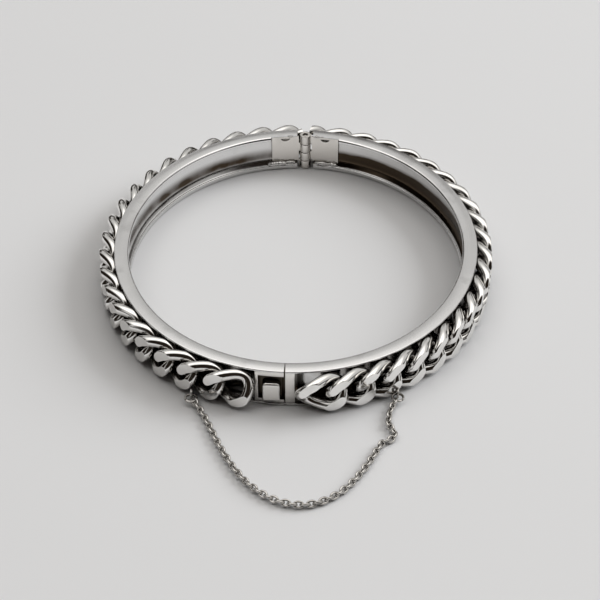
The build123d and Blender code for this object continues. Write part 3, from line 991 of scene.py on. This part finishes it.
# The tab's front edge in layers: how far behind its face each is, and how far it draws in.
TAB_LAYERS = ((0.32, 0.0), (0.2, 0.03), (0.1, 0.09), (0.03, 0.18), (0.0, 0.3), (0.0, 0.5))
TAB_SHOULDER, TAB_FOOT = 0.62, 0.3
TAB_SHOULDER_LEAST, TAB_FOOT_LEAST = 0.12, 0.08


def thumb_tab():
    """The tab: a block with rounded shoulders, soft edges and a foot along the spring."""
    slope = (spring_high.y - spring_low.y - SPRING_SHEET) / (spring_high.x - spring_low.x)
    bm = bmesh.new()

    def outline(inset):
        low_x, high_x = tab_low.x + inset, tab_high.x - inset
        low_z, high_z = tab_low.z + inset, tab_high.z - inset
        foot = max(TAB_FOOT - inset, TAB_FOOT_LEAST)
        shoulder = max(TAB_SHOULDER - inset, TAB_SHOULDER_LEAST)
        return rounded(
            ((low_x, low_z, foot), (high_x, low_z, foot), (high_x, high_z, shoulder),
             (low_x, high_z, shoulder)),
            segments=8,
        )

    foot_row = []
    for place in outline(0.0):
        skin = spring_high.y - SPRING_SHEET - slope * (place.x - spring_low.x)
        foot_row.append(bm.verts.new((place.x, skin, place.y)))
    rows = [foot_row]
    for depth, inset in TAB_LAYERS:
        y = tab_low.y + depth
        rows.append([bm.verts.new((place.x, y, place.y)) for place in outline(inset)])
    grid_faces(bm, rows)
    bm.faces.new(rows[0])
    bm.faces.new(rows[-1])
    return bm


tab_mesh = mesh_from(thumb_tab(), "thumb_tab_block")
add_modifiers(
    make_object("thumb_tab_block", tab_mesh, clasp_silver, "catch", ["thumb_tab"])
)

# ---------------------------------------------------------------- rings
RING_WIRE = 0.36
RING_SPLIT = 0.16
RING_SPLIT_AT = {"left": 0.6, "right": 2.4}


def wire_ring(centre, axis, radius, split_at):
    """A ring of round wire with a fine cut across it where it was closed."""
    bm = bmesh.new()
    turn = Vector(axis).to_track_quat("Z", "Y").to_matrix()
    gap = RING_SPLIT / 2 / radius
    rows = []
    for angle in spaced(split_at + gap, split_at + 2 * math.pi - gap, 56):
        outward = turn @ Vector((math.cos(angle), math.sin(angle), 0))
        row = []
        for spin in spaced(0, 2 * math.pi, 16)[:-1]:
            offset = outward * math.cos(spin) + turn.col[2] * math.sin(spin)
            row.append(bm.verts.new(centre + outward * radius + offset * RING_WIRE / 2))
        rows.append(row)
    grid_faces(bm, rows)
    bm.faces.new(rows[0])
    bm.faces.new(rows[-1])
    return bm


for side, split_at in RING_SPLIT_AT.items():
    name = f"{side}_jump_ring"
    low, high = node_box(name)
    ring = wire_ring((low + high) / 2, (0, 0, 1), (high.x - low.x - RING_WIRE) / 2, split_at)
    mesh = mesh_from(ring, name + "_wire")
    add_modifiers(
        make_object(
            name + "_wire", mesh, fine_silver, f"{side}_half", [name]
        )
    )

# ---------------------------------------------------------------- CAD nodes that stay
kept_nodes = {
    "tongue": spring_steel_painted_shade,
    "catch_spring": spring_steel_painted_shade,
    "left_chain_eyelet": fine_silver,
    "right_chain_eyelet": fine_silver,
}
for node, material in kept_nodes.items():
    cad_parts[node].data.materials.clear()
    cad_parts[node].data.materials.append(material)

# ---------------------------------------------------------------- floor and light
FLOOR_SIZE = 4.0
FLOOR_TONE = (0.78, 0.78, 0.785, 1)
FLOOR_ROUGHNESS = 0.75
floor_mesh = bpy.data.meshes.new("floor")
half = FLOOR_SIZE / 2
floor_mesh.from_pydata(
    [(-half, -half, 0), (half, -half, 0), (half, half, 0), (-half, half, 0)], [], [(0, 1, 2, 3)]
)
floor = bpy.data.objects.new("floor", floor_mesh)
bpy.context.scene.collection.objects.link(floor)
floor_material, floor_shader = new_material("pale_board")[:2]
floor_shader.inputs["Base Color"].default_value = FLOOR_TONE
floor_shader.inputs["Roughness"].default_value = FLOOR_ROUGHNESS
floor_mesh.materials.append(floor_material)


def area_light(name, place, aim, size, power, colour):
    """A soft rectangular light that faces its aim."""
    data = bpy.data.lights.new(name, "AREA")
    data.shape = "RECTANGLE"
    data.size, data.size_y = size
    data.energy = power
    data.color = colour
    light = bpy.data.objects.new(name, data)
    light.location = place
    light.rotation_euler = (Vector(aim) - Vector(place)).to_track_quat("-Z", "Y").to_euler()
    bpy.context.scene.collection.objects.link(light)
    return light


window = area_light(
    "window",
    place=(1.15, 0.55, 0.75),
    aim=(0, 0, 0),
    size=(0.8, 0.9),
    power=16.0,
    colour=(0.97, 0.985, 1.0),
)
# The silver mirrors the room below; the window's own image in it would be blown out.
window.visible_glossy = False

# The room round the bracelet, by direction: dark low down, with patches of furniture,
# pale walls, a brighter ceiling, and dark where the person taking the picture stands.
ROOM_DARK = (0.016, 0.012, 0.009, 1)
ROOM_WALL = (0.54, 0.532, 0.52, 1)
ROOM_CEILING = (1.30, 1.27, 1.23, 1)
CEILING_FROM, CEILING_TO = 0.62, 0.92
HORIZON_FROM, HORIZON_TO = 0.10, 0.38
FURNITURE_FROM, FURNITURE_TO = 0.50, 0.58
FURNITURE_LOW, FURNITURE_HIGH = 0.35, 0.62
PERSON_DIRECTION = Vector((0.05, -0.80, 0.55))
PERSON_FROM, PERSON_TO = 0.64, 0.80
DOORWAY_DIRECTION = Vector((-0.93, 0.05, 0.30))
DOORWAY_FROM, DOORWAY_TO = 0.80, 0.92

world = bpy.data.worlds.new("room")
bpy.context.scene.world = world
world.use_nodes = True
room_nodes, room_join = world.node_tree.nodes, world.node_tree.links.new


def room_step(source, start, end, rising=True):
    """A smooth step from 0 to 1, or from 1 to 0, as a value passes between two limits."""
    step = room_nodes.new("ShaderNodeMapRange")
    step.interpolation_type = "SMOOTHSTEP"
    step.inputs["From Min"].default_value = start
    step.inputs["From Max"].default_value = end
    step.inputs["To Min"].default_value = 0.0 if rising else 1.0
    step.inputs["To Max"].default_value = 1.0 if rising else 0.0
    room_join(source, step.inputs["Value"])
    return step.outputs["Result"]


def room_math(operation, first, second):
    """A calculation on two values."""
    node = room_nodes.new("ShaderNodeMath")
    node.operation = operation
    room_join(first, node.inputs[0])
    room_join(second, node.inputs[1])
    return node.outputs["Value"]


def room_mix(share, first, second):
    """One colour turning into another. A colour is a value or a node's output."""
    node = room_nodes.new("ShaderNodeMix")
    node.data_type = "RGBA"
    room_join(share, node.inputs["Factor"])
    for colour, socket in ((first, node.inputs["A"]), (second, node.inputs["B"])):
        if isinstance(colour, tuple):
            socket.default_value = colour
        else:
            room_join(colour, socket)
    return node.outputs["Result"]


direction = room_nodes.new("ShaderNodeTexCoord").outputs["Generated"]
parts = room_nodes.new("ShaderNodeSeparateXYZ")
room_join(direction, parts.inputs["Vector"])
height_up = parts.outputs["Z"]


def clear_of(toward, start, end):
    """1 away from a direction and 0 close to it."""
    facing = room_nodes.new("ShaderNodeVectorMath")
    facing.operation = "DOT_PRODUCT"
    facing.inputs[1].default_value = toward.normalized()
    room_join(direction, facing.inputs[0])
    return room_step(facing.outputs["Value"], start, end, rising=False)


patches = room_nodes.new("ShaderNodeTexNoise")
patches.inputs["Scale"].default_value = 3.2
patches.inputs["Detail"].default_value = 2.0
room_join(direction, patches.inputs["Vector"])

clear_of_person = clear_of(PERSON_DIRECTION, PERSON_FROM, PERSON_TO)
clear_of_doorway = clear_of(DOORWAY_DIRECTION, DOORWAY_FROM, DOORWAY_TO)
above_horizon = room_step(height_up, HORIZON_FROM, HORIZON_TO)
clear_of_furniture = room_step(patches.outputs["Fac"], FURNITURE_FROM, FURNITURE_TO, rising=False)
above_furniture = room_step(height_up, FURNITURE_LOW, FURNITURE_HIGH)
clear_low = room_math("MAXIMUM", clear_of_furniture, above_furniture)
clear_aside = room_math("MULTIPLY", clear_of_person, clear_of_doorway)
lit = room_math("MULTIPLY", room_math("MULTIPLY", above_horizon, clear_low), clear_aside)
pale = room_mix(room_step(height_up, CEILING_FROM, CEILING_TO), ROOM_WALL, ROOM_CEILING)
room_join(room_mix(lit, ROOM_DARK, pale), room_nodes["Background"].inputs["Color"])
